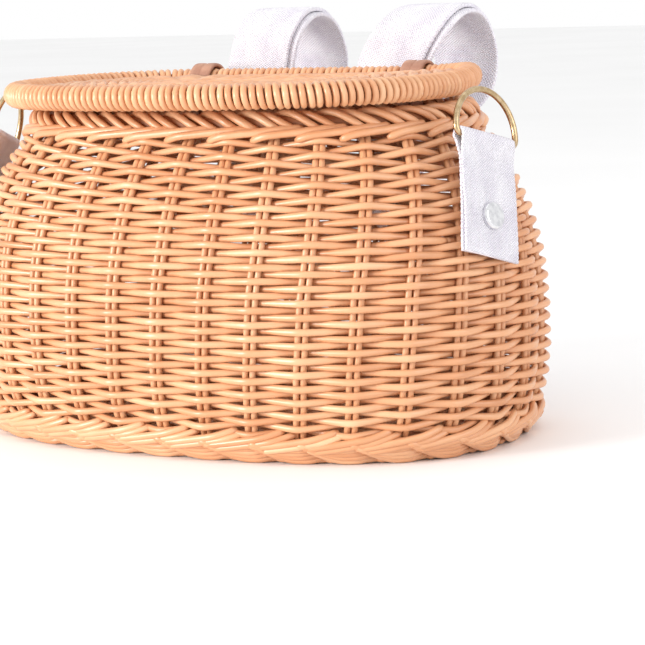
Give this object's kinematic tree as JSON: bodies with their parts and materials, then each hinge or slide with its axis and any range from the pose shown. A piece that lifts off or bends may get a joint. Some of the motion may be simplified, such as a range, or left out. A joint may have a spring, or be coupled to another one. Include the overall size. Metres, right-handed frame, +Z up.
{
  "type": "handlebar basket",
  "caption": "Pot-bellied woven wicker handlebar basket with a hinged flat lid, webbing loops that go round the bar, and side tabs with metal D-rings for a shoulder strap.",
  "frame": {"origin": "on the handlebar's axis, midway between the two webbing loops", "axes": "+X along the handlebar, +Z up, the basket's bowed front towards -Y"},
  "size_m": [0.2616, 0.2077, 0.1725],
  "materials": {
    "reed": "satin woven reed",
    "reed_core": "plain cane",
    "webbing": "white cotton webbing",
    "leather": "brown leather strip",
    "ring_brass": "antique brass wire",
    "nickel": "polished nickel"
  },
  "bodies": {
    "basket": {"side_weave": "reed", "side_stakes": "reed_core", "foot_border": "reed", "base_panel": "reed", "base_sticks": "reed_core", "top_border": "reed", "hinge_loop_left": "leather", "hinge_loop_right": "leather", "bar_strap_left": "webbing", "strap_rivet_left": "nickel", "strap_washer_left": "nickel", "snap_cap_left": "nickel", "snap_stud_left": "nickel", "side_tab_left": "webbing", "tab_rivet_left": "nickel", "tab_washer_left": "nickel", "bar_strap_right": "webbing", "strap_rivet_right": "nickel", "strap_washer_right": "nickel", "snap_cap_right": "nickel", "snap_stud_right": "nickel", "side_tab_right": "webbing", "tab_rivet_right": "nickel", "tab_washer_right": "nickel"},
    "lid": {"lid_panel": "reed", "lid_ribs": "reed_core", "lid_hoop": "reed_core", "lid_wrap": "reed"},
    "ring_left": {"d_ring_left": "ring_brass"},
    "ring_right": {"d_ring_right": "ring_brass"}
  },
  "joints": [
    {"name": "lid_hinge", "type": "hinge", "parent": "basket", "child": "lid", "pos_m": [0, -0.0435, -0.004], "axis": [-1, 0, 0], "range_deg": [0, 115]},
    {"name": "ring_swing_right", "type": "hinge", "parent": "basket", "child": "ring_right", "pos_m": [0.11721, -0.11202, -0.02518], "axis": [0.3075, 0.9178, -0.2511], "range_deg": [-30, 160]},
    {"name": "ring_swing_left", "type": "hinge", "parent": "basket", "child": "ring_left", "pos_m": [-0.11721, -0.11202, -0.02518], "axis": [0.3075, -0.9178, 0.2511], "range_deg": [-30, 160]}
  ]
}
